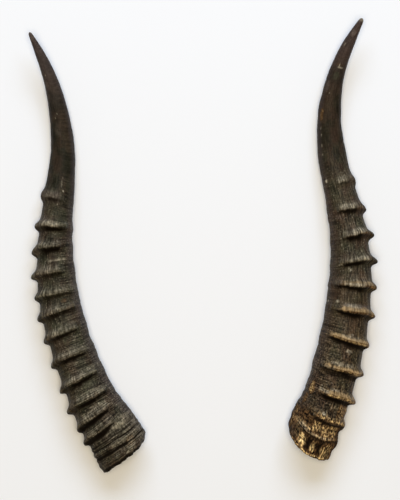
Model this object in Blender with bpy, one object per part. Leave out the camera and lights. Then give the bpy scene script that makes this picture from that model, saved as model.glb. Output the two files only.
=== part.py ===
# A pair of blesbok horns lying on a table, a left one and a right one.
# Each is one hollow sheath of horn: a curved, tapering shaft with raised rings up its front,
# a smooth point, and at the base an open socket where the bony core of the skull used to be.
# Metres, +Z up. The table is Z = 0, the points lie towards +Y and the bases towards -Y.

import math

import bmesh
import bpy
import numpy as np
from mathutils import Vector

MM = 0.001
SIDES = 28  # corners round each cross-section

# How the two horns lie and how they are shaped. Sizes are in millimetres.
# middle: the line up the middle of the shaft, from the base rim to the point, as X, Y, Z.
# front: which way along X the ringed front of the horn faces.
# half_width: from the middle line to the front of the plain shaft, at shares of the length.
# back_flare: how much further the base spreads at its back, at shares of the length.
# rings: for each crest, its distance from the base along the middle line, its height, and its
# lean: how many degrees it tips towards the base at its front. At 0 stands the base rim.
# bow: degrees that the rim and the rings tip towards the base at their top.
LEFT_HORN = {
    "name": "horn_left",
    "colour": (0.055, 0.047, 0.036),
    "front": -1,
    "middle": [
        (-68, -183.5, 21.5),
        (-76.5, -166, 22.2),
        (-89.5, -143.5, 22.7),
        (-106, -107.5, 21.8),
        (-120, -67, 20.8),
        (-127.5, -30, 20.1),
        (-128.5, 8, 18.8),
        (-126, 42, 15.2),
        (-122.5, 84, 11.4),
        (-126, 118, 15),
        (-132.5, 145, 21),
        (-150.5, 185, 33),
    ],
    "half_width": [
        (0, 22.2),
        (0.02, 23.2),
        (0.05, 23),
        (0.11, 21.6),
        (0.21, 18.9),
        (0.3, 18),
        (0.42, 17.1),
        (0.52, 14.9),
        (0.65, 12.1),
        (0.8, 8.5),
        (0.95, 3.6),
        (1, 1.2),
    ],
    "back_flare": [(0, 0), (0.02, 3.4), (0.05, 2.2), (0.1, 0)],
    "rings": [
        (0, 0, 10),
        (6, 0.6, 9),
        (16, 0.8, 8),
        (31, 3.1, 6),
        (42.5, 3.2, 6),
        (58.5, 4.4, 4),
        (78, 3.8, 9),
        (99.5, 4, 9),
        (121, 4, 9),
        (139, 4, 8),
        (155, 4.2, 4),
        (172.5, 4.4, 6),
        (191, 4.5, 3),
        (212, 4.4, 1),
        (239, 2.6, -2),
    ],
    "bow": [(0, 4), (0.1, 0), (1, 0)],
}
RIGHT_HORN = {
    "name": "horn_right",
    "colour": (0.075, 0.058, 0.038),
    "front": 1,
    "middle": [
        (94, -165.5, 21),
        (105, -135, 22.8),
        (118, -98, 22.6),
        (126.5, -47, 21.2),
        (127.3, 2, 19.3),
        (118.8, 50, 15),
        (110.5, 92, 10.6),
        (111.5, 127, 14.5),
        (120, 161.5, 21.5),
        (138, 197.5, 33),
    ],
    "half_width": [
        (0, 22.5),
        (0.1, 20.8),
        (0.2, 19.7),
        (0.34, 18.5),
        (0.46, 16.5),
        (0.59, 13.6),
        (0.75, 10),
        (0.88, 6.6),
        (0.96, 3.4),
        (1, 1.6),
    ],
    "back_flare": [(0, 0), (1, 0)],
    "rings": [
        (0, 0, 13),
        (7.5, 2, 10),
        (21.5, 3.4, 6),
        (43.5, 5.2, 5),
        (67, 4.8, 3),
        (90, 5, 3),
        (114, 5.4, 2),
        (137, 5.4, 1),
        (158, 5.4, 1),
        (178.5, 5.2, 2),
        (201, 4.2, 0),
        (225, 2.4, -5),
    ],
    "bow": [(0, 36), (0.03, 22), (0.06, 8), (0.2, 3), (0.4, 1), (1, 0)],
}

DEPTH_TO_WIDTH = [(0, 0.87), (0.5, 0.88), (1, 1)]  # a horn is flatter from side to side
CREST_TO_TIP = 4.6 * MM  # a ring swells gently on the side of the point
CREST_TO_BASE = 2 * MM  # and drops off steeply on the side of the base
CREST_SHARPNESS = 1.6  # 1 is a sharp edge, 2 a round one
FADE_BEGINS = -0.25  # rings begin to fade here across the section: front 1, back -1
FADE_ENDS = -0.8
BACK_OF_RING = 0.12  # share of a ring's height that is left at the back
# Loops of corners near a crest, from the side of the base to the side of the point.
CREST_LOOPS = [-3.4 * MM, -1.6 * MM, 0, 1.8 * MM, 5 * MM]
CLEAR_OF_RIM = 2 * MM  # no other loop lies closer to the rim
POINT_LOOPS = [0, 0.4 * MM, 1.4 * MM, 4 * MM]  # back from the point
SMOOTH_STEP = 13 * MM  # between the loops of the smooth stretch
LINE_STEPS = 600  # straight steps that the middle line is measured in
DIRECTION_REACH = 2 * MM  # how far ahead and back its direction is taken

SOCKET_MOUTH = 0.87  # the socket's width at the rim, as a share of the shaft's
SOCKET_DEPTH = 0.56  # as a share of the horn's length
SOCKET_TAPER = 1.7  # 1 narrows evenly, more keeps it wide for longer
SOCKET_LOOPS = 10


def clear_scene():
    for obj in list(bpy.data.objects):
        bpy.data.objects.remove(obj, do_unlink=True)


def smooth_curve(places, values):
    """Returns a function that reads the least bent curve through the values at these places."""
    places = np.array(places, float)
    values = np.array(values, float)
    gaps = np.diff(places)
    slopes = np.diff(values, axis=0) / gaps.reshape(-1, *[1] * (values.ndim - 1))
    count = len(places)
    system = np.eye(count)
    target = np.zeros_like(values)
    for i in range(1, count - 1):
        system[i, i - 1 : i + 2] = gaps[i - 1], 2 * (gaps[i - 1] + gaps[i]), gaps[i]
        target[i] = 6 * (slopes[i] - slopes[i - 1])
    bend = np.linalg.solve(system, target)

    def read(place):
        i = int(np.clip(np.searchsorted(places, place) - 1, 0, count - 2))
        before, after = places[i + 1] - place, place - places[i]
        cubic = (bend[i] * before**3 + bend[i + 1] * after**3) / (6 * gaps[i])
        low = (values[i] / gaps[i] - bend[i] * gaps[i] / 6) * before
        high = (values[i + 1] / gaps[i] - bend[i + 1] * gaps[i] / 6) * after
        return cubic + low + high

    return read


def straight_between(stations, place):
    """Reads straight lines between (place, value) stations."""
    return float(np.interp(place, *zip(*stations)))


def smoothstep(low, high, value):
    share = min(max((value - low) / (high - low), 0), 1)
    return share * share * (3 - 2 * share)


class Shaft:
    """The middle line of a horn, and the plain shape of the shaft round it."""

    def __init__(self, horn):
        self.horn = horn
        points = np.array(horn["middle"], float) * MM
        chords = np.linalg.norm(np.diff(points, axis=0), axis=1)
        line = smooth_curve(np.append(0, np.cumsum(chords)), points)
        self.fine = np.array([line(step) for step in np.linspace(0, chords.sum(), LINE_STEPS)])
        steps = np.linalg.norm(np.diff(self.fine, axis=0), axis=1)
        self.run = np.append(0, np.cumsum(steps))
        self.length = self.run[-1]
        self.half_width = smooth_curve(*zip(*horn["half_width"]))

    def point(self, place):
        return Vector([np.interp(place, self.run, self.fine[:, i]) for i in range(3)])

    def axes(self, place):
        """The directions towards the point of the horn, its front, and up."""
        ahead = self.point(min(place + DIRECTION_REACH, self.length))
        behind = self.point(max(place - DIRECTION_REACH, 0))
        forward = (ahead - behind).normalized()
        up = Vector((0, 0, 1))
        up = (up - forward * up.dot(forward)).normalized()
        front = forward.cross(up) * self.horn["front"]
        return forward, front, up

    def halves(self, place):
        """Half the width and half the depth of the plain shaft."""
        share = place / self.length
        width = float(self.half_width(share)) * MM
        return width, width * straight_between(DEPTH_TO_WIDTH, share)

    def place_of(self, place, across, above):
        """A point of the cross-section, which leans and bows with the rings."""
        crests, _, leans = zip(*self.horn["rings"])
        lean = math.radians(np.interp(place / MM, (*crests, self.length / MM), (*leans, 0)))
        bow = math.radians(straight_between(self.horn["bow"], place / self.length))
        slip = across * math.tan(lean) + above * math.tan(bow)
        forward, front, up = self.axes(place)
        return self.point(place) + front * across + up * above - forward * slip


def ring_height(horn, place, across):
    """How far the rings stand out here. across runs from 1 at the front to -1 at the back."""
    height = 0
    for crest, full, _ in horn["rings"]:
        off = place - crest * MM
        reach = CREST_TO_TIP if off > 0 else CREST_TO_BASE
        height = max(height, full * MM * math.exp(-abs(off / reach) ** CREST_SHARPNESS))
    fade = smoothstep(FADE_ENDS, FADE_BEGINS, across)
    return height * (BACK_OF_RING + (1 - BACK_OF_RING) * fade)


def outside(shaft, place, turn, swell=1.0):
    """A point of the outer surface. turn is the angle from the front, round by the top."""
    width, depth = (half * swell for half in shaft.halves(place))
    normal = Vector((math.cos(turn) / width, math.sin(turn) / depth)).normalized()
    raised = ring_height(shaft.horn, place, math.cos(turn)) if swell == 1 else 0
    flare = straight_between(shaft.horn["back_flare"], place / shaft.length) * MM
    across = width * math.cos(turn) - flare * (1 - math.cos(turn)) / 2 + normal.x * raised
    above = depth * math.sin(turn) + normal.y * raised
    return shaft.place_of(place, across, above)


def outer_places(shaft):
    """Where the loops of corners lie, from the point to the rim."""
    crests = [crest * MM for crest, _, _ in shaft.horn["rings"]]
    places = {0.0}
    for crest in crests[1:]:
        places.update(crest + step for step in CREST_LOOPS if crest + step > CLEAR_OF_RIM)
    smooth = shaft.length - POINT_LOOPS[-1] - crests[-1] - CREST_LOOPS[-1]
    count = math.ceil(smooth / SMOOTH_STEP)
    first = crests[-1] + CREST_LOOPS[-1]
    places.update(first + smooth * i / count for i in range(1, count))
    places.update(shaft.length - back for back in POINT_LOOPS)
    return sorted(places, reverse=True)


def socket_point(shaft, share, turn):
    """A point of the socket's wall, at a share of its depth."""
    swell = SOCKET_MOUTH * (1 - share**SOCKET_TAPER) ** 0.5
    return outside(shaft, share * SOCKET_DEPTH * shaft.length, turn, swell)


def skin_loops(shaft):
    """Loops of points from the horn's point down its outside, over the rim and up the socket."""
    turns = [-math.pi + 2 * math.pi * i / SIDES for i in range(SIDES + 1)]
    loops = [[shaft.point(shaft.length)] * len(turns)]
    for place in outer_places(shaft)[1:]:
        loops.append([outside(shaft, place, turn) for turn in turns])
    for i in range(SOCKET_LOOPS):
        loops.append([socket_point(shaft, i / SOCKET_LOOPS, turn) for turn in turns])
    loops.append([shaft.point(SOCKET_DEPTH * shaft.length)] * len(turns))
    return loops


def make_horn(horn, collection):
    """Rolls a flat grid into the sheath: its columns run along the horn, its rows round it.

    The object's origin is the middle of its base rim.
    """
    shaft = Shaft(horn)
    base = shaft.point(0)
    loops = skin_loops(shaft)
    mesh = bmesh.new()
    rows = len(loops) - 1
    bmesh.ops.create_grid(mesh, x_segments=SIDES, y_segments=rows, size=1)
    for corner in mesh.verts:
        column = round((corner.co.x + 1) / 2 * SIDES)
        row = round((corner.co.y + 1) / 2 * rows)
        corner.co = loops[row][column] - base
    bmesh.ops.remove_doubles(mesh, verts=mesh.verts, dist=0.001 * MM)
    bmesh.ops.recalc_face_normals(mesh, faces=mesh.faces)
    data = bpy.data.meshes.new(horn["name"])
    mesh.to_mesh(data)
    mesh.free()
    data.shade_smooth()
    data.set_sharp_from_angle(angle=math.radians(40))
    data.materials.append(horn_material(horn))
    made = bpy.data.objects.new(horn["name"], data)
    made.location = base
    collection.objects.link(made)
    return made


def horn_material(horn):
    material = bpy.data.materials.new(horn["name"])
    material.use_nodes = True
    shader = material.node_tree.nodes["Principled BSDF"]
    shader.inputs["Base Color"].default_value = (*horn["colour"], 1)
    shader.inputs["Roughness"].default_value = 0.5
    shader.inputs["Metallic"].default_value = 0
    return material


def settle_on_table(horns):
    """Sets each horn down on Z = 0, and the middle of the pair's outline at X = Y = 0."""
    corners = [horn.location + corner.co for horn in horns for corner in horn.data.vertices]
    middle = [(min(places) + max(places)) / 2 for places in zip(*corners)]
    for horn in horns:
        lowest = horn.location.z + min(corner.co.z for corner in horn.data.vertices)
        horn.location -= Vector((middle[0], middle[1], lowest))


def main():
    clear_scene()
    pair = bpy.data.collections.new("blesbok_horns")
    bpy.context.scene.collection.children.link(pair)
    settle_on_table([make_horn(horn, pair) for horn in (LEFT_HORN, RIGHT_HORN)])


main()
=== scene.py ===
# The pair of blesbok horns, dressed: two hollow sheaths of dark ringed horn on a pale floor.
# Each horn is one piece. +Z is up, the points lie towards +Y. Sizes in the dictionaries are in
# millimetres; places on a horn are a station, measured from its base rim along its middle line,
# and a side, from 1 at its ringed front over 0 on top to -1 at its smooth back.
import math

import bmesh
import bpy
import numpy as np
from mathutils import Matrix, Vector


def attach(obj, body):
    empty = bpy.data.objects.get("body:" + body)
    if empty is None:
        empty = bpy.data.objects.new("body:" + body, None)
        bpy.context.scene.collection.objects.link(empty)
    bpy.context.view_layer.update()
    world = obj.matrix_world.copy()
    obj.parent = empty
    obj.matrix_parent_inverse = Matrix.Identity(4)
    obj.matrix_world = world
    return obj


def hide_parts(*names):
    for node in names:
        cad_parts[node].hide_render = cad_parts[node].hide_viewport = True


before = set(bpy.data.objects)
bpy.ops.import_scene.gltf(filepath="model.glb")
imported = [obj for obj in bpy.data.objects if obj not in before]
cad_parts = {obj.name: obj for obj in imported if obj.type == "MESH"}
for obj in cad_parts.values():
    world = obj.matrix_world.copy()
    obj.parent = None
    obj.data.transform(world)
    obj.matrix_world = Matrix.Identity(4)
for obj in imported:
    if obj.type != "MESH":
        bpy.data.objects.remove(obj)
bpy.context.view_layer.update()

mm = 0.001

# what both sheaths share
sheath = {
    "columns": 168,  # faces round the shaft
    "ringSpacing": 0.5,  # between loops of faces near a ring or the rim
    "shaftSpacing": 1.25,  # and away from them
    "ringZone": (-3.5, 5.5),  # how far the close loops reach, towards the base and the point
    "rimZone": 6,
    "pointLoops": (0, 0.25, 0.7, 1.3, 2),  # back from the point
    "pointRound": 2.6,  # how much of the point is its rounded end
    "lineSteps": 600,  # short straight steps in the middle line
    "aim": 2,  # how far ahead and back the line's direction is taken
    "depthToWidth": [(0, 0.87), (0.5, 0.88), (1, 1)],  # a horn is flatter from top to bottom
    "rimLean": 10,  # degrees that the rim tips towards the base at its front
    "rimReach": 11,  # how far up the rim's cut is felt
    "bevelSides": (0.05, 0.5),  # the rim's worn edge is on top, by the sine of the turn
    "ringedSwell": 0.99,  # rings only where the shaft has its full width
    "grooveEnd": 0.15,
    # how much darker a groove is painted for its depth: painted shade
    "grooveShade": 1.6,
    "lipRadius": 0.8,
    "lipLoops": 7,
    "socketMouth": 0.87,  # the socket's width at the rim, as a share of the shaft's
    "socketDepth": 0.56,  # as a share of the horn's length
    "socketTaper": 1.7,  # 1 narrows evenly, more keeps it wide for longer
    "socketLoops": 34,
}

# the shape of a ring
ring = {
    "tipReach": 7,  # it swells gently on the side of the point
    "baseReach": 3.2,  # and drops off steeply on the side of the base
    "tipPower": 1.4,
    "basePower": 2.5,
    "bulb": 0.62,  # share of its height that is its rounded crest
    "bulbReach": 3.6,
    "bulbPower": 2.6,
    "roll": 1.1,  # how far the top of a crest lies beyond its lower edge
    "overhang": 0.06,  # how far a crest leans over the step below it, for each mm of height
    "fadeWidth": 0.28,
    "fadeUneven": 0.1,
    "rollSides": (1, 0.8),
    "backShare": 0.1,  # share of its height left at the back, as a soft swelling
    "backReach": 6,
    "noiseApart": 50,
    "beadSize": 1.7,
    "lumpSize": 5,
    "lumpShare": 0.7,
    "uneven": 0.4,  # how much the beads change its height
    "wobbleSize": 2.3,
    "wobbleReach": 6,
    "chipSize": 1.3,
    "spread": (-1, -0.6, 0.5, 0.8, 1),  # sides where its line is at its back, top and front
}

# the marks of a ring: the step below it, dark with dirt and painted shade, and the slope above it, paler
# with wear and a painted highlight
ringMarks = {
    "markedHeight": 3,  # a ring as high as this has its marks in full
    "crest": 0.8,
    "step": 1.25,
    "stepHeight": 4.5,  # a ring as high as this has a step of the length in stepReach
    "stepMost": 1.2,
    "stepUneven": 0.25,
    "stepFaded": 0.3,
    "stepSoft": 1.4,
    "stepTail": 5,
    "stepTailShare": 0.25,
    "stepFront": 0.3,  # what is left of it at the very front
    "stepFrontSides": (0.45, 0.85),
    "stepTop": (0.5, -2),  # from its upper edge, towards the base
    "stepChips": 0.5,
    "cloudSize": 6,
    "slopeFar": (11, 3),  # its far end, faint, and its near one
    "slopeNear": (6.5, 3),
    "slopeFarShare": 0.35,
    "slopeFoot": (-1, 0.6),
    "slopeFront": 0.35,
    "slopeFrontSides": (1, 0.6),
    "slopeBack": 0.5,
    "slopeBackSides": (-0.5, 0.3),
    "slopeLight": 0.75,
    "slopeClouds": 0.35,
}

# fine relief of the skin: height or depth and size in mm, in layers
relief = {
    "fullFrom": 10,  # half width of the shaft from which the relief is at its full height
    "lumps": [(0.4, 14), (0.16, 5)],
    "fibres": [(0.1, (1.6, 1.6, 35)), (0.07, (3, 3, 50))],
    "growth": [(1, (16, 16, 1.9)), (0.6, (30, 30, 3.6))],
    "growthFront": 0.35,  # share of the growth lines' height at the front
    "growthSides": (0.8, -0.1),
    "pitSize": 2.4,
    "pitDepth": 0.25,
    "pitted": (0.45, 0.8),
    "socketGrooves": [(0.5, (4, 4, 60))],
    "socketGroovesEnd": (0.1, 0.5),  # they end before the bottom of the socket closes
    "rimWaves": (0.5, 4),
    "rimTeeth": (0.35, 1.5),
    "rimWorn": 0.5,
    "grooveWander": (0.5, 6),
}

colours = {
    # pale worn horn, used also for the painted highlights on the slopes and crests
    "pale": (0.44, 0.375, 0.26, 1),
    "tan": (0.4, 0.26, 0.105, 1),
    "yellow": (0.57, 0.42, 0.19, 1),
    "ochre": (0.155, 0.096, 0.042, 1),
    "honey": (0.37, 0.245, 0.115, 1),
    "rust": (0.085, 0.043, 0.016, 1),
    "rose": (0.105, 0.077, 0.06, 1),
    "moss": (0.04, 0.042, 0.022, 1),
    "earth": (0.048, 0.022, 0.006, 1),
    "umber": (0.028, 0.017, 0.008, 1),
    # dark marks, used also for the painted shade in the steps and grooves
    "dark": (0.0045, 0.0025, 0.0008, 1),
}

# the edges of bands and spots: noise as height and size in mm, ends as shares of their size
paint = {
    "ragged": [(1, 1.6), (0.6, 4)],
    "wander": (0.45, 7),
    "bandRagged": 0.25,
    "bandEdge": (1.25, 0.6),
    "sideRagged": 0.1,
    "sideEnd": (0.1, 0.06),
    "spotRagged": 0.22,
    "spotEdge": (1.2, 0.6),
}

# the colours that bands and spots use, and all the marks that the shape leaves on the skin; the steps and
# grooves carry painted shade and the slopes a painted highlight
paintNames = ("pale", "tan", "yellow", "honey", "rust", "rose", "moss", "earth", "umber", "dark")
markNames = ("crest", "step", "slope", "groove", "front", "inside", *paintNames)


# shape


def smoothCurve(stations):
    # the least bent curve through (place, value) stations, as a function
    places, values = np.array(stations, float).T
    gaps = np.diff(places)
    slopes = np.diff(values) / gaps
    count = len(places)
    system = np.eye(count)
    target = np.zeros(count)
    for i in range(1, count - 1):
        system[i, i - 1 : i + 2] = gaps[i - 1], 2 * (gaps[i - 1] + gaps[i]), gaps[i]
        target[i] = 6 * (slopes[i] - slopes[i - 1])
    bend = np.linalg.solve(system, target)

    def read(place):
        i = np.clip(np.searchsorted(places, place) - 1, 0, count - 2)
        before, after = places[i + 1] - place, place - places[i]
        cubic = (bend[i] * before**3 + bend[i + 1] * after**3) / (6 * gaps[i])
        low = (values[i] / gaps[i] - bend[i] * gaps[i] / 6) * before
        high = (values[i + 1] / gaps[i] - bend[i + 1] * gaps[i] / 6) * after
        return cubic + low + high

    return read


def straightBetween(stations, place):
    places, values = zip(*stations)
    return np.interp(place, places, values)


def smoothstep(low, high, value):
    share = np.clip((value - low) / (high - low), 0, 1)
    return share * share * (3 - 2 * share)


def mixed(none, full, share):
    return none + (full - none) * share


def lattice(x, y, z, seed):
    # one even random number from -1 to 1 for each whole-numbered place
    n = x * 73856093 ^ y * 19349663 ^ z * 83492791 ^ seed * 265443576
    n = (n ^ n >> 13) * 1274126177
    return ((n ^ n >> 16) & 0xFFFF) / 32767.5 - 1


def softNoise(points, size, seed):
    # smooth noise from -1 to 1, whose lumps are this many mm along X, Y and Z; each use adds a
    # number of its own to the horn's seed
    scaled = points / np.array(size, float)
    cell = np.floor(scaled).astype(np.int64)
    part = scaled - cell
    part = part * part * (3 - 2 * part)
    total = 0
    for corner in np.ndindex(2, 2, 2):
        share = np.prod(np.where(corner, part, 1 - part), axis=-1)
        total = total + share * lattice(*np.moveaxis(cell + corner, -1, 0), seed)
    return total


def layeredNoise(points, layers, seed):
    # layers of noise, each a height and a size, with seeds that follow one another
    return sum(height * softNoise(points, size, seed + k) for k, (height, size) in enumerate(layers))


def readLine(line, what, place):
    # the line goes on straight beyond its start
    found = np.stack([np.interp(place, line["run"], line[what][:, k]) for k in range(3)], -1)
    if what == "point":
        found = found + line["start"] * np.minimum(place, 0)[..., None]
    return found


def middleLine(horn):
    # the horn's middle line in short steps, with the directions to its point, front and top
    points = np.array(horn["middle"], float)
    chords = np.append(0, np.cumsum(np.linalg.norm(np.diff(points, axis=0), axis=1)))
    steps = np.linspace(0, chords[-1], sheath["lineSteps"])
    fine = np.stack([smoothCurve(list(zip(chords, points[:, k])))(steps) for k in range(3)], -1)
    run = np.append(0, np.cumsum(np.linalg.norm(np.diff(fine, axis=0), axis=1)))
    start = (fine[3] - fine[0]) / np.linalg.norm(fine[3] - fine[0])
    line = {"run": run, "length": run[-1], "point": fine, "start": start}
    ahead = readLine(line, "point", run + sheath["aim"])
    forward = ahead - readLine(line, "point", run - sheath["aim"])
    forward /= np.linalg.norm(forward, axis=1)[:, None]
    up = np.array([0, 0, 1]) - forward * forward[:, 2:]
    up /= np.linalg.norm(up, axis=1)[:, None]
    line.update(forward=forward, up=up, front=np.cross(forward, up) * horn["front"])
    return line


def loopStations(horn, length):
    # where the loops of faces lie on the outside, from the point down to the rim
    places = [length - back for back in sheath["pointLoops"]]
    crests = np.array([row[0] for row in horn["rings"]])
    low, high = sheath["ringZone"]
    while places[-1] > sheath["lipRadius"]:
        near = np.any((places[-1] - crests > low) & (places[-1] - crests < high))
        close = near or places[-1] < sheath["rimZone"]
        places.append(places[-1] - sheath["ringSpacing" if close else "shaftSpacing"])
    return np.array(places[:-1])


def skinRows(horn, length):
    # the sheath's rows, down the outside, over the rim and up the socket: the station of each,
    # its width against the shaft's, and how far it belongs to the outside
    outer = loopStations(horn, length)
    endShare = np.clip((length - outer) / sheath["pointRound"], 0, 1)
    outerSwell = np.sqrt(1 - (1 - endShare) ** 2)
    bend = np.linspace(0, math.pi, sheath["lipLoops"] + 2)[1:-1]
    lipStation = sheath["lipRadius"] * (1 - np.sin(bend))
    lipSwell = 1 - (1 - sheath["socketMouth"]) * (1 - np.cos(bend)) / 2
    deep = np.linspace(0, 1, sheath["socketLoops"])
    socketStation = deep * sheath["socketDepth"] * length
    socketStation = np.maximum(socketStation, sheath["lipRadius"] * (deep == 0))
    socketSwell = sheath["socketMouth"] * np.sqrt(1 - deep ** sheath["socketTaper"])
    station = np.concatenate([outer, lipStation, socketStation])[:, None]
    swell = np.concatenate([outerSwell, lipSwell, socketSwell])[:, None]
    skin = np.concatenate([np.ones(len(outer)), (1 + np.cos(bend)) / 2, np.zeros(len(deep))])[:, None]
    return station, swell, skin


def ringShift(horn, station, side):
    # how far the rings' lines wander from straight across, blended between one ring and the next
    crests = [0]
    shifts = [np.zeros_like(side)]
    for front, _, _, top, back, _, _ in horn["rings"]:
        path = np.array([back, back, top, top, front]) - front
        crests.append(front)
        shifts.append(np.interp(side, ring["spread"], path))
    crests.append(horn["length"])
    shifts.append(np.zeros_like(side))
    crests, shifts = np.array(crests), np.array(shifts)
    i = np.clip(np.searchsorted(crests, station) - 1, 0, len(crests) - 2)
    share = smoothstep(crests[i], crests[i + 1], station)
    columns = np.broadcast_to(np.arange(side.shape[1]), station.shape)
    rows = shifts[:, 0]
    return rows[i, columns] * (1 - share) + rows[i + 1, columns] * share


def stepShade(horn, side, off, beads, chips, full, fade):
    # the step below a ring, dark with dirt and painted shade, deepest at its crest and broken along its
    # upper edge
    soft, tail, tailShare = ringMarks["stepSoft"], ringMarks["stepTail"], ringMarks["stepTailShare"]
    deep = straightBetween(horn["stepReach"], side) * (1 + ringMarks["stepUneven"] * beads)
    deep = deep * min(full / ringMarks["stepHeight"], ringMarks["stepMost"])
    deep = deep * mixed(ringMarks["stepFaded"], 1, fade)
    shelf = (1 - tailShare) * smoothstep(-deep - soft, soft - deep, off)
    shelf = shelf + tailShare * smoothstep(-deep - tail, -deep, off)
    shelf = shelf * mixed(1, ringMarks["stepFront"], smoothstep(*ringMarks["stepFrontSides"], side))
    return shelf * smoothstep(*ringMarks["stepTop"], off + ringMarks["stepChips"] * chips)


def slopeLight(side, off, clouds):
    # the slope above a ring, paler with wear and a painted highlight where it faces the light, brightest
    # just above its crest
    far, near = ringMarks["slopeFar"], ringMarks["slopeNear"]
    lit = mixed(smoothstep(*near, off), smoothstep(*far, off), ringMarks["slopeFarShare"])
    lit = lit * mixed(ringMarks["slopeFront"], 1, smoothstep(*ringMarks["slopeFrontSides"], side))
    lit = lit * smoothstep(*ringMarks["slopeFoot"], off)
    lit = lit * (ringMarks["slopeLight"] + ringMarks["slopeClouds"] * clouds)
    return lit * mixed(ringMarks["slopeBack"], 1, smoothstep(*ringMarks["slopeBackSides"], side))


def ringRelief(horn, station, side, straight):
    # the rings' height, and masks: the crests, the steps below them with their painted shade and the slopes
    # above them with their wear and painted highlight
    seed = horn["seed"]
    height, crest, step, slope = (np.zeros_like(station) for _ in range(4))
    clouds = softNoise(straight, ringMarks["cloudSize"], seed + 21)
    for number, (front, full, _, _, _, faded, soft) in enumerate(horn["rings"]):
        # each ring has noise of its own, which changes round the horn but not along it
        around = straight * (1, 1, 0) + (0, 0, ring["noiseApart"] * number)
        beading = straightBetween(horn["beading"], front)
        beads = beading * softNoise(around, ring["beadSize"], seed)
        beads = beads + ring["lumpShare"] * softNoise(around, ring["lumpSize"], seed + 1)
        wobble = horn["scallop"] * beading * softNoise(around, ring["wobbleSize"], seed + 20)
        off = station - front + wobble * smoothstep(ring["wobbleReach"], 0, abs(station - front))
        fadeWidth = ring["fadeWidth"]
        fade = smoothstep(faded - fadeWidth, faded + fadeWidth, side + ring["fadeUneven"] * beads)
        rolled = off - ring["roll"] * smoothstep(*ring["rollSides"], side)
        reach = soft * np.where(rolled > 0, ring["tipReach"], ring["baseReach"])
        power = np.where(rolled > 0, ring["tipPower"], ring["basePower"])
        flare = np.exp(-np.abs(rolled / reach) ** power)
        bulbReach = np.minimum(soft * ring["bulbReach"], reach)
        bulb = np.exp(-np.abs(rolled / bulbReach) ** ring["bulbPower"])
        profile = (1 - ring["bulb"]) * flare + ring["bulb"] * bulb * (1 + ring["uneven"] * beads)
        back = ring["backShare"] * (1 - fade) * np.exp(-((off / ring["backReach"]) ** 2))
        height = np.maximum(height, full * (fade * profile + back))
        strength = fade * min(full / ringMarks["markedHeight"], 1) / max(soft, 1)
        crest = np.maximum(crest, strength * beading * bulb * (ringMarks["crest"] + ring["uneven"] * beads))
        chips = softNoise(around, ring["chipSize"], seed + 22)
        # painted shade in the step below this ring
        shade = stepShade(horn, side, off, beads, chips, full, fade)
        step = np.maximum(step, np.minimum(ringMarks["step"] * strength, 1) * shade)
        slope = np.maximum(slope, strength * slopeLight(side, off, clouds))
    step = step * straightBetween(horn["stepShare"], station)
    slope = slope * straightBetween(horn["slopeShare"], station)
    return height, {"crest": np.clip(crest, 0, 1), "step": np.clip(step, 0, 1), "slope": slope}


def grooveRelief(horn, station, side, straight):
    # how deep the grooves lie
    depth = np.zeros_like(station)
    soft = sheath["grooveEnd"]
    wander = layeredNoise(straight * (1, 1, 0), [relief["grooveWander"]], horn["seed"] + 30)
    for place, low, high, deep, half in horn["grooves"]:
        across = smoothstep(low - soft, low + soft, side) * smoothstep(high + soft, high - soft, side)
        along = np.exp(-(((station - place + wander) / half) ** 2))
        depth = np.maximum(depth, deep * across * along)
    return depth


def fineRelief(horn, station, side, straight, width, swell, skin):
    # lumps, fibres, growth lines and pits outside, and long grooves in the socket's wide part
    seed = horn["seed"]
    lumps = layeredNoise(straight, relief["lumps"], seed + 2)
    fibres = layeredNoise(straight, relief["fibres"], seed + 4)
    growth = layeredNoise(straight, relief["growth"], seed + 6)
    growth = growth * straightBetween(horn["growth"], station)
    growth = growth * mixed(relief["growthFront"], 1, smoothstep(*relief["growthSides"], side))
    pitted = smoothstep(*relief["pitted"], softNoise(straight, relief["pitSize"], seed + 8))
    outside = lumps + fibres + growth - relief["pitDepth"] * pitted
    inside = layeredNoise(straight, relief["socketGrooves"], seed + 9)
    inside = inside * smoothstep(*relief["socketGroovesEnd"], swell)
    return skin * np.minimum(width / relief["fullFrom"], 1) * outside + (1 - skin) * inside


def paintMasks(horn, station, place, turn, width, straight):
    # how strongly each colour of the bands and spots shows: worn colours, and painted shade and highlights
    # along the rings
    masks = {name: np.zeros_like(station) for name in paintNames}
    side = np.cos(turn)
    ragged = layeredNoise(straight, paint["ragged"], horn["seed"] + 40)
    wander = layeredNoise(straight * (1, 1, 0), [paint["wander"]], horn["seed"] + 42)
    out, within = paint["sideEnd"]
    for colour, middle, half, low, high, strength in horn["bands"]:
        away = np.abs(station + wander - middle) / half + paint["bandRagged"] * ragged
        across = smoothstep(low - out, low + within, side + paint["sideRagged"] * ragged)
        across = across * smoothstep(high + out, high - within, side)
        masks[colour] = np.maximum(masks[colour], strength * smoothstep(*paint["bandEdge"], away) * across)
    for colour, middle, where, long, wide, strength in horn["spots"]:
        across = (turn - math.acos(where)) * width
        away = np.hypot((place - middle) / long, across / wide) + paint["spotRagged"] * ragged
        masks[colour] = np.maximum(masks[colour], strength * smoothstep(*paint["spotEdge"], away))
    return masks


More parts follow.
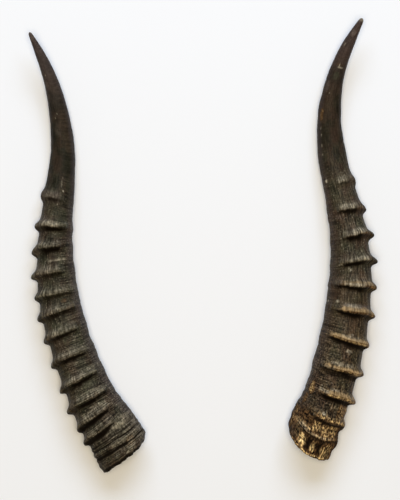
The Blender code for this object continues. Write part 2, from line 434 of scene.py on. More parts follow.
def hornSkin(horn):
    # every corner of the sheath, its place on a straightened horn, and its marks
    line = middleLine(horn)
    horn["length"] = length = line["length"]
    station, swell, skin = skinRows(horn, length)
    turn = np.linspace(-math.pi, math.pi, sheath["columns"] + 1)[None, :]
    share = station / length
    width = smoothCurve(horn["halfWidth"])(share)
    depth = width * straightBetween(sheath["depthToWidth"], share)
    station, side = np.broadcast_arrays(station, np.cos(turn))
    straight = np.stack([width * np.cos(turn), width * np.sin(turn), station], -1)

    height, masks = ringRelief(horn, station, side, straight)
    groove = grooveRelief(horn, station, side, straight)
    fine = fineRelief(horn, station, side, straight, width, swell, skin)
    bevelLength, bevelDepth = horn["rimBevel"]
    bevel = bevelDepth * smoothstep(bevelLength, 0, station)
    bevel = bevel * smoothstep(*sheath["bevelSides"], np.sin(turn))
    ringed = swell > sheath["ringedSwell"]
    raised = skin * (height * ringed - bevel - groove) + fine

    # across the middle line: an oval, flared at the back, and raised square to its own edge
    flare = straightBetween(horn["backFlare"], share) * (1 - np.cos(turn)) / 2
    normal = np.stack([np.cos(turn) / width, np.sin(turn) / depth], -1)
    normal /= np.linalg.norm(normal, axis=-1)[..., None]
    across = width * swell * np.cos(turn) - flare + normal[..., 0] * raised
    above = depth * swell * np.sin(turn) + normal[..., 1] * raised

    # along the middle line: leaning and bowed rings, their wandering lines, and the rim's cut
    leans = [(0, sheath["rimLean"])] + [(row[0], row[2]) for row in horn["rings"]] + [(length, 0)]
    lean = np.radians(straightBetween(leans, station))
    bow = np.radians(straightBetween(horn["bow"], share))
    slip = across * np.tan(lean) + above * np.tan(bow)
    ragged = layeredNoise(straight * (1, 1, 0), [relief["rimWaves"]], horn["seed"] + 10)
    ragged = ragged + layeredNoise(straight * (1, 1, 0), [relief["rimTeeth"]], horn["seed"] + 12)
    cut = straightBetween(horn["rimCut"], side) + ragged + relief["rimWorn"]
    cut = cut * smoothstep(sheath["rimReach"], 0, station)
    shift = ringShift(horn, station, side) * skin - ring["overhang"] * height * masks["crest"] * skin
    place = station + shift + cut
    spot = readLine(line, "point", place)
    spot = spot + readLine(line, "front", place) * across[..., None]
    spot = spot + readLine(line, "up", place) * above[..., None]
    spot = spot - readLine(line, "forward", place) * slip[..., None]
    # the point and the bottom of the socket each close in one corner
    spot[0] = line["point"][-1]
    spot[-1] = readLine(line, "point", np.array([sheath["socketDepth"] * length]))

    masks.update(paintMasks(horn, station, place, turn, width, straight))
    # painted shade in the grooves, darker where they are deeper
    masks["groove"] = np.clip(sheath["grooveShade"] * groove, 0, 1)
    masks["front"] = (side + 1) / 2
    masks = {name: np.clip(mask * skin, 0, 1) for name, mask in masks.items()}
    masks["inside"] = 1 - skin * np.ones_like(station)
    return spot, straight, masks


def buildHorn(horn):
    # rolls a flat grid into the sheath: its columns run along the horn, its rows round it
    spot, straight, masks = hornSkin(horn)
    rows, columns = spot.shape[0] - 1, sheath["columns"]
    shift = np.array([*horn["place"], -spot[..., 2].min()])
    spot = (spot + shift) * mm
    shell = bmesh.new()
    bmesh.ops.create_grid(shell, x_segments=columns, y_segments=rows, size=1)
    layers = {name: shell.verts.layers.float.new(name) for name in masks}
    straightLayer = shell.verts.layers.float_vector.new("straight")
    for corner in shell.verts:
        column = round((corner.co.x + 1) / 2 * columns)
        row = round((corner.co.y + 1) / 2 * rows)
        corner.co = spot[row, column]
        corner[straightLayer] = straight[row, column]
        for name, layer in layers.items():
            corner[layer] = masks[name][row, column]
    bmesh.ops.remove_doubles(shell, verts=shell.verts, dist=0.001 * mm)
    bmesh.ops.recalc_face_normals(shell, faces=shell.faces)
    for face in shell.faces:
        face.smooth = True
    mesh = bpy.data.meshes.new(horn["name"])
    shell.to_mesh(mesh)
    shell.free()
    made = bpy.data.objects.new(horn["name"], mesh)
    bpy.context.scene.collection.objects.link(made)
    print(f"{horn['name']}: {len(mesh.polygons)} faces, {horn['length']:.1f} mm long")
    return made


# colour


def addNode(tree, kind, inputs, **settings):
    # a new node; an input is a number, a colour or another node's output
    made = tree.nodes.new(kind)
    for name, value in settings.items():
        setattr(made, name, value)
    for key, value in inputs.items():
        if isinstance(value, bpy.types.NodeSocket):
            tree.links.new(value, made.inputs[key])
        else:
            made.inputs[key].default_value = value
    return made


def blend(tree, share, under, over):
    # the colour under, covered by the colour over
    return addNode(tree, "ShaderNodeMix", {0: share, 6: under, 7: over}, data_type="RGBA").outputs[2]


def maths(tree, operation, *values):
    return addNode(tree, "ShaderNodeMath", dict(enumerate(values)), operation=operation).outputs[0]


def times(tree, first, second):
    return maths(tree, "MULTIPLY", first, second)


def most(tree, first, *others):
    # the strongest of some masks
    for other in others:
        first = maths(tree, "MAXIMUM", first, other)
    return first


def between(tree, share, ends):
    # the first of two numbers where the share is 0, the second where it is 1
    return maths(tree, "MULTIPLY_ADD", share, ends[1] - ends[0], ends[0])


def ramp(tree, value, low, high):
    # 0 below low, 1 above high; the other way round if low is the higher one
    inputs = {"Value": value, "From Min": low, "From Max": high}
    return addNode(tree, "ShaderNodeMapRange", inputs, interpolation_type="SMOOTHSTEP").outputs[0]


def attribute(tree, name):
    return addNode(tree, "ShaderNodeAttribute", {}, attribute_name=name).outputs


def noise(tree, vector, size, detail, apart):
    # noise from 0 to 1 whose lumps are this many mm round the horn and along it
    around, along = size
    inputs = {"Vector": vector, "Scale": (1 / around, 1 / around, 1 / along), "Location": (apart, apart, 0)}
    scaled = addNode(tree, "ShaderNodeMapping", inputs)
    made = addNode(tree, "ShaderNodeTexNoise", {"Vector": scaled.outputs[0], "Scale": 1, "Detail": detail})
    return made.outputs["Fac"]


def newGroup(name, inputs, outputs):
    tree = bpy.data.node_groups.new(name, "ShaderNodeTree")
    for direction, sockets in (("INPUT", inputs), ("OUTPUT", outputs)):
        for label, kind in sockets.items():
            tree.interface.new_socket(name=label, in_out=direction, socket_type=kind)
    return tree, addNode(tree, "NodeGroupInput", {}), addNode(tree, "NodeGroupOutput", {})


# the fine grain of horn: size in mm round the horn and along it, detail, how far its noise lies
# from the others', and the noise values at which it begins and is complete
grains = {
    "Fibres": ((0.85, 12), 2, 0, (0.38, 0.62)),
    "Lines": ((15, 0.8), 2, 0, (0.38, 0.62)),
    "Streaks": ((1.5, 6), 2, 80, (0.4, 0.6)),
    "Clouds": ((8, 10), 3, 0, (0.36, 0.64)),
    "Patches": ((3.4, 3), 1, 30, (0.4, 0.6)),
    "Brown": ((12, 18), 2, 20, (0.4, 0.6)),
    "Moss": ((10, 16), 2, 60, (0.44, 0.62)),
    "Dust": ((1.8, 1.8), 2, 0, (0.4, 0.6)),
    "Grit": ((1.5, 1.7), 2, 40, (0.38, 0.62)),
    "Flecks": ((1.4, 1.2), 0, 0, (0.66, 0.76)),
}


def grainGroup():
    # a group with each kind of grain as a mask, and the height of the finest of it
    outputs = dict.fromkeys([*grains, "Height"], "NodeSocketFloat")
    tree, given, made = newGroup("horn_grain", {"Place": "NodeSocketVector"}, outputs)
    found = {}
    for name, (size, detail, apart, ends) in grains.items():
        found[name] = noise(tree, given.outputs["Place"], size, detail, apart)
        tree.links.new(ramp(tree, found[name], *ends), made.inputs[name])
    height = maths(tree, "ADD", found["Fibres"], found["Lines"])
    tree.links.new(maths(tree, "ADD", height, found["Grit"]), made.inputs["Height"])
    print(f"grain: {len(grains)} kinds")
    return tree


# the zones of a horn's look: the stations where each begins and where it is complete
zones = {
    "base": (140, 20),
    "crusted": (28, 42),
    "away": (60, 120),
    "linedBack": (130, 90),
    "middleTone": (70, 130),
    "palerWearAndHighlight": (100, 140),
    "ringed": (275, 200),
    "smooth": (225, 255),
    "beforeTip": (350, 310),
    "frontEdge": (270, 310),
    "tip": (295, 375),
}

# what the two looks share: weights of grain and marks; a pair is for a mask or zone at 0 and at 1
shared = {
    "backWidth": 0.4,  # how softly the lined back turns into the fibrous front
    "grainTone": (0.25, 0.42),
    "dustTone": (0.3, 0.13),
    "cloudTone": 0.45,
    "contrast": 1.2,
    "shaftTone": (0.17, 1),
    "shaftLift": (0.046, 0),
    "brown": 0.55,
    "moss": (0.12, 0.42),
    "edge": 0.5,
    "sideEdge": (0.25, 0.02),  # the front mask at which a horn's outer edge begins and is complete
    "frontEdge": (0.86, 1),
    "wearAndHighlight": (0.17, 0.55),
    "flecks": (0.08, 0),
    "ringedFlecks": 0.16,
    "cloudy": (0.5, 1),
    "cloudyMarks": ("rust", "umber", "earth", "rose", "moss", "honey"),
    "tanCrust": 0.8,
    "crustAtLeast": 0.42,
    "crustGrains": {"Patches": 0.32, "Dust": 0.4, "Grit": 0.33},
    "crustLayers": {"rust": (0.05, 0.35), "ochre": (0.3, 0.65), "tan": (0.5, 0.95), "yellow": (0.85, 1.3)},
    "linedAway": 0.7,
    "grittyAway": 0.5,
    "beadedAway": 0.5,
    "grainStrength": 0.55,
    "edgeStrength": -0.3,
    "ringedStrength": 0.55,
    "baseStrength": 0.65,
    "crustedStrength": (1, 0.4),
    "smoothShade": (1, 0.83),
    "darkMarks": ("groove", "step", "dark"),
    "lining": 0.7,
    "earthShade": 0.85,
    "roughness": (0.5, 1),
    "gloss": 0.07,
    "glossTint": (1, 0.93, 0.84, 1),
    "bump": 0.8,
    "bumpHeight": 0.4,
}


def hornColour(tree, look, fine, marks, zone, grainy, edge):
    # the horn's colour, from deep to light, with its clouds of other tints, a painted reflection along its
    # outer edges, and its worn slopes with their painted highlight
    tone = times(tree, fine["Clouds"], shared["cloudTone"])
    tone = maths(tree, "MULTIPLY_ADD", grainy, between(tree, zone["away"], shared["grainTone"]), tone)
    tone = maths(tree, "MULTIPLY_ADD", fine["Dust"], between(tree, zone["away"], shared["dustTone"]), tone)
    tone = maths(tree, "POWER", tone, shared["contrast"])
    tone = times(tree, tone, between(tree, zone["ringed"], shared["shaftTone"]))
    tone = maths(tree, "ADD", tone, between(tree, zone["ringed"], shared["shaftLift"]))
    tone = times(tree, tone, between(tree, zone["middleTone"], (1, look["middleTone"])))
    colour = blend(tree, tone, look["deep"], look["light"])
    colour = blend(tree, times(tree, fine["Brown"], shared["brown"]), colour, look["brown"])
    moss = times(tree, fine["Moss"], between(tree, zone["ringed"], shared["moss"]))
    colour = blend(tree, moss, colour, colours["moss"])
    # a greyish tint along the outer edges: a painted reflection of the pale floor
    colour = blend(tree, times(tree, edge, shared["edge"]), colour, look["edge"])
    colour = blend(tree, zone["tip"], colour, look["tip"])
    # the slopes above the rings: paler worn horn with a painted highlight
    wearAndHighlight = times(tree, marks["slope"], between(tree, fine["Streaks"], shared["wearAndHighlight"]))
    wornAndLitSlope = blend(tree, zone["palerWearAndHighlight"], look["wornAndLitSlope"], colours["pale"])
    colour = blend(tree, wearAndHighlight, colour, wornAndLitSlope)
    flecks = between(tree, zone["away"], shared["flecks"])
    flecks = maths(tree, "MULTIPLY_ADD", zone["ringed"], shared["ringedFlecks"], flecks)
    return blend(tree, times(tree, fine["Flecks"], flecks), colour, colours["pale"])


def wornColourAndHighlights(tree, colour, fine, marks):
    # the bands and spots: tints, then the crust of the worn rim, then pale wear and the painted highlights
    # along the ring crests
    cloudy = between(tree, fine["Clouds"], shared["cloudy"])
    for name in shared["cloudyMarks"]:
        colour = blend(tree, times(tree, marks[name], cloudy), colour, colours[name])
    # the stronger the crust's mark, the lighter it gets, in layers
    patches = shared["crustAtLeast"]
    for name, weight in shared["crustGrains"].items():
        patches = maths(tree, "MULTIPLY_ADD", fine[name], weight, patches)
    crust = most(tree, times(tree, marks["tan"], shared["tanCrust"]), marks["yellow"])
    crust = times(tree, crust, patches)
    for name, ends in shared["crustLayers"].items():
        colour = blend(tree, ramp(tree, crust, *ends), colour, colours[name])
    # pale bands and spots: pale wear, and along the ring crests painted highlights
    streaky = between(tree, fine["Streaks"], shared["cloudy"])
    return blend(tree, times(tree, marks["pale"], streaky), colour, colours["pale"])


def grainContrast(tree, look, fine, marks, zone, grainy, edge):
    # what the finest grain multiplies the colour by: gentler on the smooth shaft and the crust
    lined = between(tree, zone["away"], (look["lined"], shared["linedAway"]))
    gritty = between(tree, zone["away"], (look["gritty"], shared["grittyAway"]))
    contrast = maths(tree, "MULTIPLY_ADD", maths(tree, "SUBTRACT", grainy, 0.5), lined, 1)
    grit = maths(tree, "MULTIPLY_ADD", maths(tree, "SUBTRACT", fine["Grit"], 0.5), gritty, 1)
    contrast = times(tree, contrast, grit)
    strength = shared["grainStrength"]
    for name, share in (("edge", edge), ("ringed", zone["ringed"]), ("base", zone["base"])):
        strength = maths(tree, "MULTIPLY_ADD", share, shared[name + "Strength"], strength)
    crusted = times(tree, most(tree, marks["tan"], marks["yellow"], marks["honey"]), zone["crusted"])
    strength = times(tree, strength, between(tree, crusted, shared["crustedStrength"]))
    contrast = maths(tree, "MULTIPLY_ADD", maths(tree, "SUBTRACT", contrast, 1), strength, 1)
    smooth = times(tree, zone["smooth"], zone["beforeTip"])
    return times(tree, contrast, between(tree, smooth, shared["smoothShade"]))


def hornMaterial(horn, grain):
    # the whole look of one horn, from the horn itself to the dark marks, painted shade among them, and the
    # socket's lining
    material = bpy.data.materials.new(horn["slot"])
    material.use_nodes = True
    tree = material.node_tree
    shader = tree.nodes["Principled BSDF"]
    look = horn["look"]
    place = attribute(tree, "straight")["Vector"]
    station = addNode(tree, "ShaderNodeSeparateXYZ", {"Vector": place}).outputs["Z"]
    zone = {name: ramp(tree, station, *ends) for name, ends in zones.items()}
    marks = {name: attribute(tree, name)["Fac"] for name in markNames}
    fine = addNode(tree, "ShaderNodeGroup", {"Place": place}, node_tree=grain).outputs

    # the grain is fibrous at the front and lined at the back
    lineSide = maths(tree, "MULTIPLY_ADD", zone["linedBack"], look["linesBelow"], look["fibresTo"])
    lineEnd = maths(tree, "ADD", lineSide, shared["backWidth"])
    back = ramp(tree, marks["front"], lineEnd, lineSide)
    grainy = addNode(tree, "ShaderNodeMix", {0: back, 2: fine["Fibres"], 3: fine["Lines"]}).outputs[0]
    # the outer edges, where a painted reflection lies and the grain is gentler
    frontEdge = times(tree, ramp(tree, marks["front"], *shared["frontEdge"]), zone["frontEdge"])
    edge = most(tree, ramp(tree, marks["front"], *shared["sideEdge"]), frontEdge)

    colour = hornColour(tree, look, fine, marks, zone, grainy, edge)
    colour = wornColourAndHighlights(tree, colour, fine, marks)
    beads = times(tree, marks["crest"], maths(tree, "SUBTRACT", 1, fine["Fibres"]))
    beaded = between(tree, zone["away"], (look["beaded"], shared["beadedAway"]))
    colour = blend(tree, times(tree, beads, beaded), colour, colours["umber"])
    contrast = grainContrast(tree, look, fine, marks, zone, grainy, edge)
    inputs = {0: colour, "Scale": contrast}
    colour = addNode(tree, "ShaderNodeVectorMath", inputs, operation="SCALE").outputs[0]
    # painted shade in the grooves and in the steps below the rings, then the dark bands and spots, some of
    # them painted shade too
    for name in shared["darkMarks"]:
        colour = blend(tree, marks[name], colour, colours["dark"])
    lining = times(tree, marks["inside"], shared["lining"])
    colour = blend(tree, lining, colour, look["inside"])
    tree.links.new(colour, shader.inputs["Base Color"])

    # a weak warm gloss, dull in the grooves and in the shade under the rings
    shader.inputs["Specular IOR Level"].default_value = shared["gloss"]
    shader.inputs["Specular Tint"].default_value = shared["glossTint"]
    earth = times(tree, marks["earth"], shared["earthShade"])
    shade = most(tree, marks["step"], marks["dark"], marks["groove"], earth)
    tree.links.new(between(tree, shade, shared["roughness"]), shader.inputs["Roughness"])
    inputs = {"Height": fine["Height"], "Strength": shared["bump"], "Distance": shared["bumpHeight"] * mm}
    bump = addNode(tree, "ShaderNodeBump", inputs)
    tree.links.new(bump.outputs[0], shader.inputs["Normal"])
    print(f"{horn['slot']}: {len(tree.nodes)} nodes")
    return material


# pale bands just above the crests are painted highlights, and dark bands just below them painted shade
# how a horn is described
# front: whether its ringed front faces -X or +X; place: how far it is moved along X and Y
# middle: points on its middle line; halfWidth, backFlare and bow, in degrees: by share of length
# rings: station at the front, height, lean in degrees, station on top, station at the back,
# the side where it has faded by half, and how soft it is
# scallop and beading: how wavy and how beaded the rings are
# grooves: station, side from and to, depth, half width
# bands run along the rings: colour, station, half length, sides from and to, strength
# spots lie on the upper side: colour, station, side, half length, half width, strength
# rimCut and stepReach go by side; beading, growth, stepShare and slopeShare by station
# look: the grain is lined from the back up to fibresTo, and to linesBelow more near the base

# left horn: longer and darker, with more rings, on a straight worn rim
leftHorn = {
    "name": "left_horn",
    "node": "horn_left",
    "slot": "dark_horn",
    "seed": 11,
    "front": -1,
    "stepReach": [(-0.5, 2.6), (0, 4.1), (0.7, 5.4)],
    "stepShare": [(110, 1), (150, 0.75), (165, 0.6), (180, 0.6), (188, 1)],
    "slopeShare": [(25, 0.58), (50, 0.85), (75, 1.05), (120, 0.95), (150, 0.65), (190, 0.8)],
    "scallop": 0.5,
    "beading": [(0, 0.7)],
    "middle": [
        (-68, -183.5, 21.5), (-76.5, -166, 22.2), (-89.5, -143.5, 22.7), (-106, -107.5, 21.8),
        (-119.7, -67, 20.8), (-126.8, -30, 20.1), (-128.1, 8, 18.8), (-125.1, 42, 15.2),
        (-121.9, 84, 11.4), (-125.5, 118, 15), (-132.1, 145, 21), (-150, 185.6, 33),
    ],
    "halfWidth": [
        (0, 21.9), (0.02, 22.7), (0.05, 22.5), (0.11, 21.3), (0.21, 19), (0.3, 18), (0.42, 16.7),
        (0.52, 14.6), (0.65, 12.3), (0.74, 10.2), (0.81, 8.35), (0.88, 6.1), (0.95, 3.9), (1, 1.3),
    ],
    "backFlare": [(0, 0.6), (0.02, 3.6), (0.045, 2.8), (0.08, 1.4), (0.13, 0.4), (0.2, 0)],
    "bow": [(0, 4), (0.1, 0)],
    "place": (0.2, -0.81),
    "rings": [
        (6, 0.7, 9, 6, 6, -0.5, 0.6),
        (10.5, 0.6, 9, 10.5, 10, -0.9, 0.5),
        (16, 0.9, 8, 16.5, 15.5, -0.9, 0.6),
        (21.5, 0.6, 7, 21.5, 21, -0.9, 0.5),
        (31, 3.7, 6, 32.8, 34, -0.3, 1),
        (42.8, 4, 6, 45, 44.9, -0.4, 1),
        (58.8, 5, 4, 60, 59.3, -0.6, 1),
        (78.2, 4.5, 9, 79, 76.9, -0.55, 1),
        (100, 4.4, 9, 101, 97.7, -0.6, 1),
        (121, 4, 9, 121.5, 119.8, -0.6, 1),
        (139.3, 4, 8, 139.9, 139.2, -0.6, 1),
        (155, 4.2, 4, 155.4, 154, -0.75, 1),
        (172.8, 5.1, 6, 173.8, 173.2, -0.35, 1),
        (191.5, 5.5, 3, 194.6, 196, -0.4, 1.1),
        (212.3, 5, 1, 212.4, 211.5, -0.7, 1.1),
        (238.5, 3.5, -2, 237, 235, -0.2, 1.5),
    ],
    "grooves": [
        (12.5, -1, 1, 0.7, 1),
        (19.5, -1, 1, 0.5, 0.8),
        (23, -0.9, 1, 0.45, 0.8),
        (27.5, 0, 1, 0.6, 1),
        (40, -0.2, 1, 0.6, 1.2),
        (8.5, -0.8, 0.6, 0.3, 0.5),
        (25.2, -1, 0.2, 0.3, 0.5),
        (52, -1, -0.2, 0.3, 0.6),
        (66, -1, -0.3, 0.25, 0.6),
        (88, -1, 0, 0.25, 0.6),
        (110, -1, -0.2, 0.25, 0.6),
        (180, -1, 0.5, 0.25, 0.6),
        (200, -0.9, 0.4, 0.2, 0.5),
        (204, -0.9, 0.6, 0.2, 0.5),
        (186, -0.9, 0.2, 0.2, 0.5),
    ],
    "bands": [
        # the dark band at the rim is painted shade on its worn face; the dark bands at 29 and 40.5 are
        # painted shade below the rings, and the pale one at 214 a painted highlight above one
        ("dark", 1.4, 1.8, -0.76, 0.9, 0.9),
        ("dark", 10.2, 0.5, -0.9, 0.9, 0.5),
        ("dark", 12.5, 1.3, -0.3, 1, 0.9),
        ("dark", 14.6, 0.5, -0.8, 1, 0.7),
        ("dark", 16.8, 0.45, -0.9, 0.6, 0.55),
        ("dark", 18.2, 0.4, -0.9, 0.3, 0.5),
        ("dark", 19.8, 0.8, -0.8, 1, 0.8),
        ("dark", 21.4, 0.4, -0.9, 0.5, 0.5),
        ("dark", 23, 0.7, -0.8, 0.9, 0.7),
        ("dark", 25, 0.45, -0.9, 0.3, 0.55),
        ("dark", 29, 2.2, 0.1, 0.95, 0.8),
        ("dark", 40.5, 2.4, 0, 0.95, 0.75),
        ("umber", 8, 9, 0.35, 1, 0.5),
        ("umber", 1.5, 3, -0.3, 1, 0.75),
        ("umber", 40, 20, 0.7, 1, 0.3),
        ("umber", 85, 60, 0.6, 1, 0.65),
        ("pale", 20, 11, -0.95, 0.25, 0.28),
        ("pale", 48, 3.4, -0.4, 0.1, 0.25),
        ("pale", 181.6, 0.6, -0.65, 0.4, 0.45),
        ("pale", 214, 2.4, -0.1, 0.6, 0.35),
        ("rose", 190, 3, 0.7, 1, 0.6),
        ("umber", 225, 30, -1, -0.6, 0.2),
        ("rose", 239, 5, -0.1, 1, 0.4),
        ("rose", 216, 5, 0.5, 1, 0.4),
    ],
    "spots": [
        ("yellow", 11.5, -0.42, 4, 5, 0.5),
        ("pale", 10, -0.42, 4, 5, 0.55),
        ("pale", 5.4, -0.32, 0.6, 5, 1),
        ("rust", 147, -0.25, 2, 2.6, 0.6),
        ("rose", 300, 0.3, 7, 4, 0.3),
        ("pale", 243.5, -0.25, 1, 0.9, 1),
        ("pale", 231, 0.02, 0.7, 0.7, 0.8),
        ("pale", 250, -0.1, 4, 0.8, 0.35),
        ("pale", 255, -0.15, 1, 0.6, 0.4),
        ("pale", 310, 0.4, 0.6, 0.5, 0.6),
        ("pale", 314, 0.18, 0.6, 0.5, 0.5),
        ("pale", 350, 0.5, 0.6, 0.4, 0.5),
        ("rose", 341, 0.65, 4, 1.6, 0.5),
        ("rose", 387, 0, 6, 4, 0.8),
    ],
    "rimCut": [
        (-1, 2.4), (-0.93, 1.4), (-0.85, 0.5), (-0.7, 0.3), (-0.4, 0.4), (0, -0.2), (0.5, -0.6), (1, -1.3),
    ],
    "rimBevel": (4, 2.3),  # length and depth of the worn edge along the top of the rim
    "growth": [(0, 0.34), (28, 0.26), (60, 0.19), (240, 0.16), (290, 0.06), (389, 0)],
    "look": {
        "deep": (0.011, 0.009, 0.0045, 1),
        "light": (0.081, 0.07, 0.045, 1),
        "brown": (0.052, 0.032, 0.02, 1),
        "edge": (0.065, 0.051, 0.048, 1),
        "tip": (0.051, 0.037, 0.031, 1),
        "inside": (0.085, 0.066, 0.047, 1),
        "wornAndLitSlope": (0.44, 0.375, 0.26, 1),
        "fibresTo": 0.3,
        "linesBelow": 0.45,
        "lined": 0.65,
        "gritty": 0.5,
        "beaded": 0.5,
        "middleTone": 0.66,
    },
}

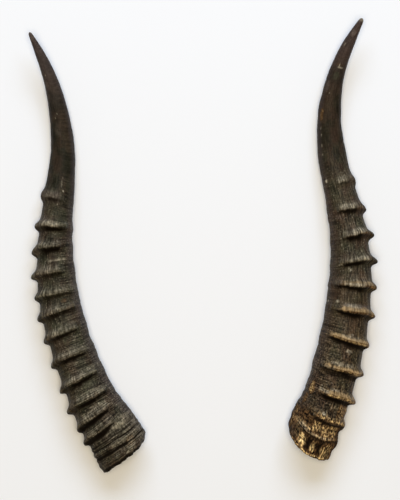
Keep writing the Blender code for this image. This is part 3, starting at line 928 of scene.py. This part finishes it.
# right horn: shorter, its rim tipped back, with worn tan rings and a crusted base
rightHorn = {
    "name": "right_horn",
    "node": "horn_right",
    "slot": "tan_worn_horn",
    "seed": 29,
    "front": 1,
    "stepReach": [(-0.5, 2.3), (0, 3.7), (0.7, 4.3)],
    "stepShare": [(14, 0.35), (38, 1)],
    "slopeShare": [(100, 1), (125, 0.72), (180, 0.62)],
    "scallop": 1,
    "beading": [(100, 0.3), (135, 1)],
    "middle": [
        (94, -165.5, 21), (105, -135, 22.8), (117.3, -98, 22.6), (126.7, -47, 21.2), (127.9, 2, 19.3),
        (119.2, 50, 15), (111.2, 92, 10.6), (111.7, 127, 14.5), (120.3, 161.5, 21.5), (138.3, 197.5, 33),
    ],
    "halfWidth": [
        (0, 21.8), (0.05, 21), (0.1, 20.3), (0.2, 20), (0.26, 19.3), (0.34, 18.4), (0.46, 16.4),
        (0.59, 13.4), (0.66, 12.4), (0.75, 10.3), (0.8, 8.8), (0.88, 6.6), (0.96, 4), (1, 1.8),
    ],
    "backFlare": [(0, 0.8), (0.03, 1.2), (0.045, 0.9), (0.07, -0.6), (0.11, -0.9), (0.16, -0.4), (0.22, 0)],
    "bow": [(0, 36), (0.03, 22), (0.06, 8), (0.2, 3), (0.4, 1), (1, 0)],
    "place": (0.2, -0.81),
    "rings": [
        (8, 2, 10, 10.9, 10.8, -0.3, 0.8),
        (21.8, 3.5, 6, 23.6, 23.6, -0.2, 1.25),
        (32, 1.3, 6, 33, 33, 0.2, 1.7),
        (43.5, 5.2, 5, 43.9, 41.8, -0.4, 1),
        (66.5, 4.8, 3, 65.9, 63.3, -0.6, 1),
        (89.8, 5, 3, 89.9, 91.2, -0.6, 1),
        (113.8, 5.4, 2, 114.9, 114.9, -0.6, 1),
        (136.8, 5.4, 1, 137.3, 136.6, -0.65, 1),
        (158, 5.4, 1, 158.9, 154, -0.55, 1),
        (178.7, 5.2, 2, 180.7, 177.7, -0.3, 1.05),
        (200.7, 4.2, 0, 201.6, 202.5, -0.3, 1.15),
        (224.8, 2.1, -5, 225.4, 225, -0.15, 1.3),
    ],
    "grooves": [
        (9.6, -0.6, 1, 0.5, 0.6),
        (20.5, -0.1, 1, 0.5, 1),
        (16, -0.4, 0.9, 0.25, 0.5),
        (30, 0.1, 0.9, 0.3, 1.5),
        (97.5, -0.9, -0.3, 0.3, 0.5),
        (50, -0.9, 0.1, 0.2, 0.5),
        (73, -0.9, 0.2, 0.2, 0.5),
        (104, -0.9, -0.2, 0.2, 0.5),
        (127, -0.9, -0.1, 0.2, 0.5),
        (148, -0.9, 0.2, 0.2, 0.5),
    ],
    "bands": [
        ("rust", 11, 13, -0.1, 1, 0.95),
        ("umber", 22, 20, -1, -0.08, 0.6),
        ("earth", 12, 12, -1, -0.3, 0.7),
        ("tan", 13, 10, -0.96, -0.25, 0.22),
        ("earth", 9, 13, -0.45, 1, 0.9),
        ("rust", 85, 60, -0.9, 1, 0.2),
        ("umber", 90, 40, 0.1, 1, 0.42),
        ("umber", 150, 90, -1, -0.55, 0.4),
        ("yellow", 1.3, 0.7, -0.7, 0.95, 0.85),
        ("dark", 0.1, 0.6, -0.8, 0.3, 0.9),
        ("yellow", 5, 3.2, -0.43, -0.16, 0.95),
        ("dark", 5.6, 3, -0.15, 0.05, 0.95),
        ("yellow", 5.2, 2.8, 0.07, 0.28, 0.9),
        ("dark", 5.4, 2.8, 0.3, 0.47, 0.95),
        ("tan", 4.6, 3.4, 0.5, 0.9, 0.85),
        ("umber", 6, 6, 0.92, 1, 0.5),
        # dark bands just below the crests, here and at 20.6, 40, 61.5 and 86.8, are painted shade
        ("dark", 9.3, 0.8, -0.1, 0.5, 0.45),
        ("honey", 11.8, 1.7, -0.9, 0.85, 1),
        ("tan", 10.8, 0.8, -0.6, 0.8, 0.7),
        ("pale", 11, 0.6, -0.3, 0.75, 0.2),
        ("tan", 16, 4.4, -0.1, 0.86, 0.8),
        ("umber", 16, 6, 0.92, 1, 0.5),
        ("dark", 20.6, 1.1, -0.15, 0.4, 0.6),
        ("honey", 24.4, 1.8, -0.1, 1, 0.9),
        ("tan", 23.2, 1.1, -0.15, 1, 0.9),
        ("yellow", 23.2, 0.7, -0.1, 0.45, 0.9),
        ("tan", 26, 3, 0.68, 1, 0.8),
        ("tan", 32, 8, 0.66, 1, 0.6),
        ("umber", 33, 9, -0.6, 0.5, 0.4),
        ("umber", 55, 8, -0.9, 0.9, 0.45),
        ("dark", 40, 2.2, -0.2, 1, 0.8),
        ("honey", 45.2, 2.5, 0, 0.97, 1),
        ("tan", 44, 1.4, 0, 0.97, 0.95),
        ("umber", 46.8, 0.6, 0, 0.9, 0.5),
        ("pale", 46, 1.2, -0.4, 0, 0.35),
        ("pale", 48.6, 0.8, 0.05, 0.35, 0.35),
        ("dark", 61.5, 2, -0.4, 1, 0.8),
        ("honey", 66.9, 2.5, -0.35, 0.98, 1),
        ("tan", 65.8, 1.3, -0.2, 0.98, 0.9),
        ("pale", 66, 1.6, -0.5, -0.1, 0.5),
        # pale bands just above the crests, here and from 137.4 on, are painted highlights
        ("pale", 71, 1.5, -0.2, 0.6, 0.3),
        ("dark", 86.8, 2, -0.5, 1, 0.8),
        ("honey", 90.8, 2.5, -0.6, 0.98, 1),
        ("tan", 89.8, 1.3, -0.4, 0.98, 0.9),
        ("pale", 93, 1.6, -0.1, 0.6, 0.3),
        ("dark", 97.5, 0.6, -0.9, -0.3, 0.5),
        ("honey", 115.6, 2.6, -0.2, 1, 0.8),
        ("tan", 114, 0.9, 0, 1, 0.6),
        ("rose", 118, 3, -0.2, 0.9, 0.5),
        ("pale", 119, 1.6, -0.1, 0.5, 0.4),
        ("pale", 137.4, 1.6, -0.25, 0.5, 0.6),
        ("tan", 137, 1.2, 0.45, 0.95, 0.42),
        ("honey", 138.6, 2.4, -0.3, 0.9, 0.45),
        ("pale", 159.5, 1.8, -0.1, 0.7, 0.4),
        ("pale", 181, 2.4, -0.2, 0.7, 0.35),
        ("tan", 179.4, 1.6, 0.5, 0.95, 0.3),
        ("pale", 203, 2.6, -0.1, 0.6, 0.4),
        ("rust", 200.5, 1.4, 0.5, 0.9, 0.4),
        ("pale", 227.5, 2.6, 0, 0.5, 0.3),
    ],
    "spots": [
        ("tan", 12, -0.9, 9, 3.4, 0.6),
        ("umber", 6, -0.58, 4, 4, 0.7),
        ("moss", 12, -0.55, 7, 7, 0.6),
        ("pale", 14, -0.45, 1.6, 5, 0.4),
        ("tan", 42, -0.75, 6, 4, 0.75),
        ("tan", 31, -0.86, 5, 3, 0.5),
        ("dark", 27.5, 0.52, 2, 6, 0.55),
        ("pale", 27.5, 0.12, 1.2, 1.7, 0.9),
        ("dark", 66, -0.17, 4, 0.6, 0.9),
        ("pale", 81.5, 0.37, 1.6, 3.4, 0.5),
        ("rust", 83.4, 0.4, 0.9, 3, 0.7),
        ("pale", 96, 0.33, 0.8, 1.6, 0.7),
        ("pale", 121, -0.95, 1.2, 2, 0.6),
        ("pale", 122, -0.55, 1, 2.4, 0.6),
        ("rust", 115, 0.8, 2, 3, 0.5),
        ("pale", 152, -0.12, 1.1, 1.1, 1),
        ("pale", 150, -0.03, 1.2, 0.8, 1),
        ("pale", 154, -0.45, 0.7, 3.4, 0.7),
        ("rose", 197.5, -0.4, 2, 4, 0.5),
        ("pale", 231, -0.74, 2, 1.4, 0.9),
        ("pale", 254, -0.68, 1, 0.8, 0.5),
        ("pale", 262, -0.66, 1, 0.7, 0.5),
        ("pale", 271, -0.66, 1, 0.7, 0.4),
        ("pale", 277, -0.7, 1, 0.8, 0.4),
        ("yellow", 288, -0.7, 6, 2, 0.42),
        ("pale", 308, -0.3, 0.8, 0.8, 0.5),
        ("rose", 313, -0.65, 5, 2, 0.6),
        ("moss", 323, 0, 4, 3, 0.5),
        ("pale", 331, 0.2, 0.6, 3.4, 0.8),
        ("pale", 333, 0, 1.8, 0.5, 0.7),
        ("rust", 334, 0.1, 0.6, 4, 0.5),
        ("pale", 351.5, -0.55, 1.4, 0.6, 0.5),
        ("rose", 364, -0.2, 3, 2.4, 0.7),
        ("pale", 377, 0, 1.6, 2.5, 0.4),
    ],
    "rimCut": [(-1, 2), (-0.8, 0.7), (-0.5, 0.1), (0, -0.5), (0.5, -1.9), (0.8, -4.2), (1, -6.8)],
    "rimBevel": (1.2, 0.4),
    "growth": [(0, 0.24), (40, 0.22), (120, 0.2), (240, 0.14), (290, 0.05), (389, 0)],
    "look": {
        "deep": (0.013, 0.009, 0.0045, 1),
        "light": (0.087, 0.068, 0.042, 1),
        "brown": (0.058, 0.033, 0.02, 1),
        "edge": (0.058, 0.041, 0.036, 1),
        "tip": (0.051, 0.034, 0.028, 1),
        "inside": (0.1, 0.074, 0.05, 1),
        "wornAndLitSlope": (0.4, 0.265, 0.115, 1),
        "fibresTo": 0,
        "linesBelow": 0.3,
        "lined": 0.6,
        "gritty": 0.85,
        "beaded": 0.2,
        "middleTone": 0.85,
    },
}

grain = grainGroup()
for horn in (leftHorn, rightHorn):
    made = buildHorn(horn)
    made.data.materials.append(hornMaterial(horn, grain))
    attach(made, "root")
    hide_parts(horn["node"])

# floor
paper = {"slot": "pale_floor", "size": 12, "colour": (0.86, 0.86, 0.86, 1), "roughness": 0.9}
bpy.ops.mesh.primitive_plane_add(size=paper["size"])
floor = bpy.context.object
floor.name = "floor"
floorMaterial = bpy.data.materials.new(paper["slot"])
floorMaterial.use_nodes = True
floorShader = floorMaterial.node_tree.nodes["Principled BSDF"]
floorShader.inputs["Base Color"].default_value = paper["colour"]
floorShader.inputs["Roughness"].default_value = paper["roughness"]
floor.data.materials.append(floorMaterial)
print(f"floor: {paper['size']} m square")

# light: even and soft, a little cooler from the side of the points
studio = {
    "ambient": (1, 1, 1, 1),
    "ambientStrength": 0.136,
    "lamps": {
        "window": {"at": (0.1, 1.6, 1.85), "size": (1.9, 1.3), "power": 35.4, "colour": (0.81, 1, 1.33)},
        "ceiling": {"at": (0, -0.1, 3.1), "size": (0.9, 0.9), "power": 52.4, "colour": (1.15, 1, 0.74)},
    },
}
for name, lamp in studio["lamps"].items():
    light = bpy.data.lights.new(name, "AREA")
    light.shape = "RECTANGLE"
    light.size, light.size_y = lamp["size"]
    light.energy = lamp["power"]
    light.color = lamp["colour"]
    holder = bpy.data.objects.new(name, light)
    holder.location = lamp["at"]
    holder.rotation_euler = (-Vector(lamp["at"])).to_track_quat("-Z", "Y").to_euler()
    bpy.context.scene.collection.objects.link(holder)
    print(f"{name}: {lamp['power']} W at {lamp['at']}")
world = bpy.data.worlds.new("studio")
world.use_nodes = True
background = world.node_tree.nodes["Background"]
background.inputs["Color"].default_value = studio["ambient"]
background.inputs["Strength"].default_value = studio["ambientStrength"]
bpy.context.scene.world = world
bpy.context.scene.view_settings.view_transform = "Standard"

# camera, straight above
view = {"at": (-0.00204, -0.0037, 2.5), "lens": 205.2, "sensor": 36, "farthest": 50}
camera = bpy.data.cameras.new("camera")
camera.lens = view["lens"]
camera.sensor_width = view["sensor"]
camera.clip_end = view["farthest"]
cameraObject = bpy.data.objects.new("camera", camera)
cameraObject.location = view["at"]
bpy.context.scene.collection.objects.link(cameraObject)
bpy.context.scene.camera = cameraObject
print(f"camera: {view['lens']} mm lens at {view['at']}")
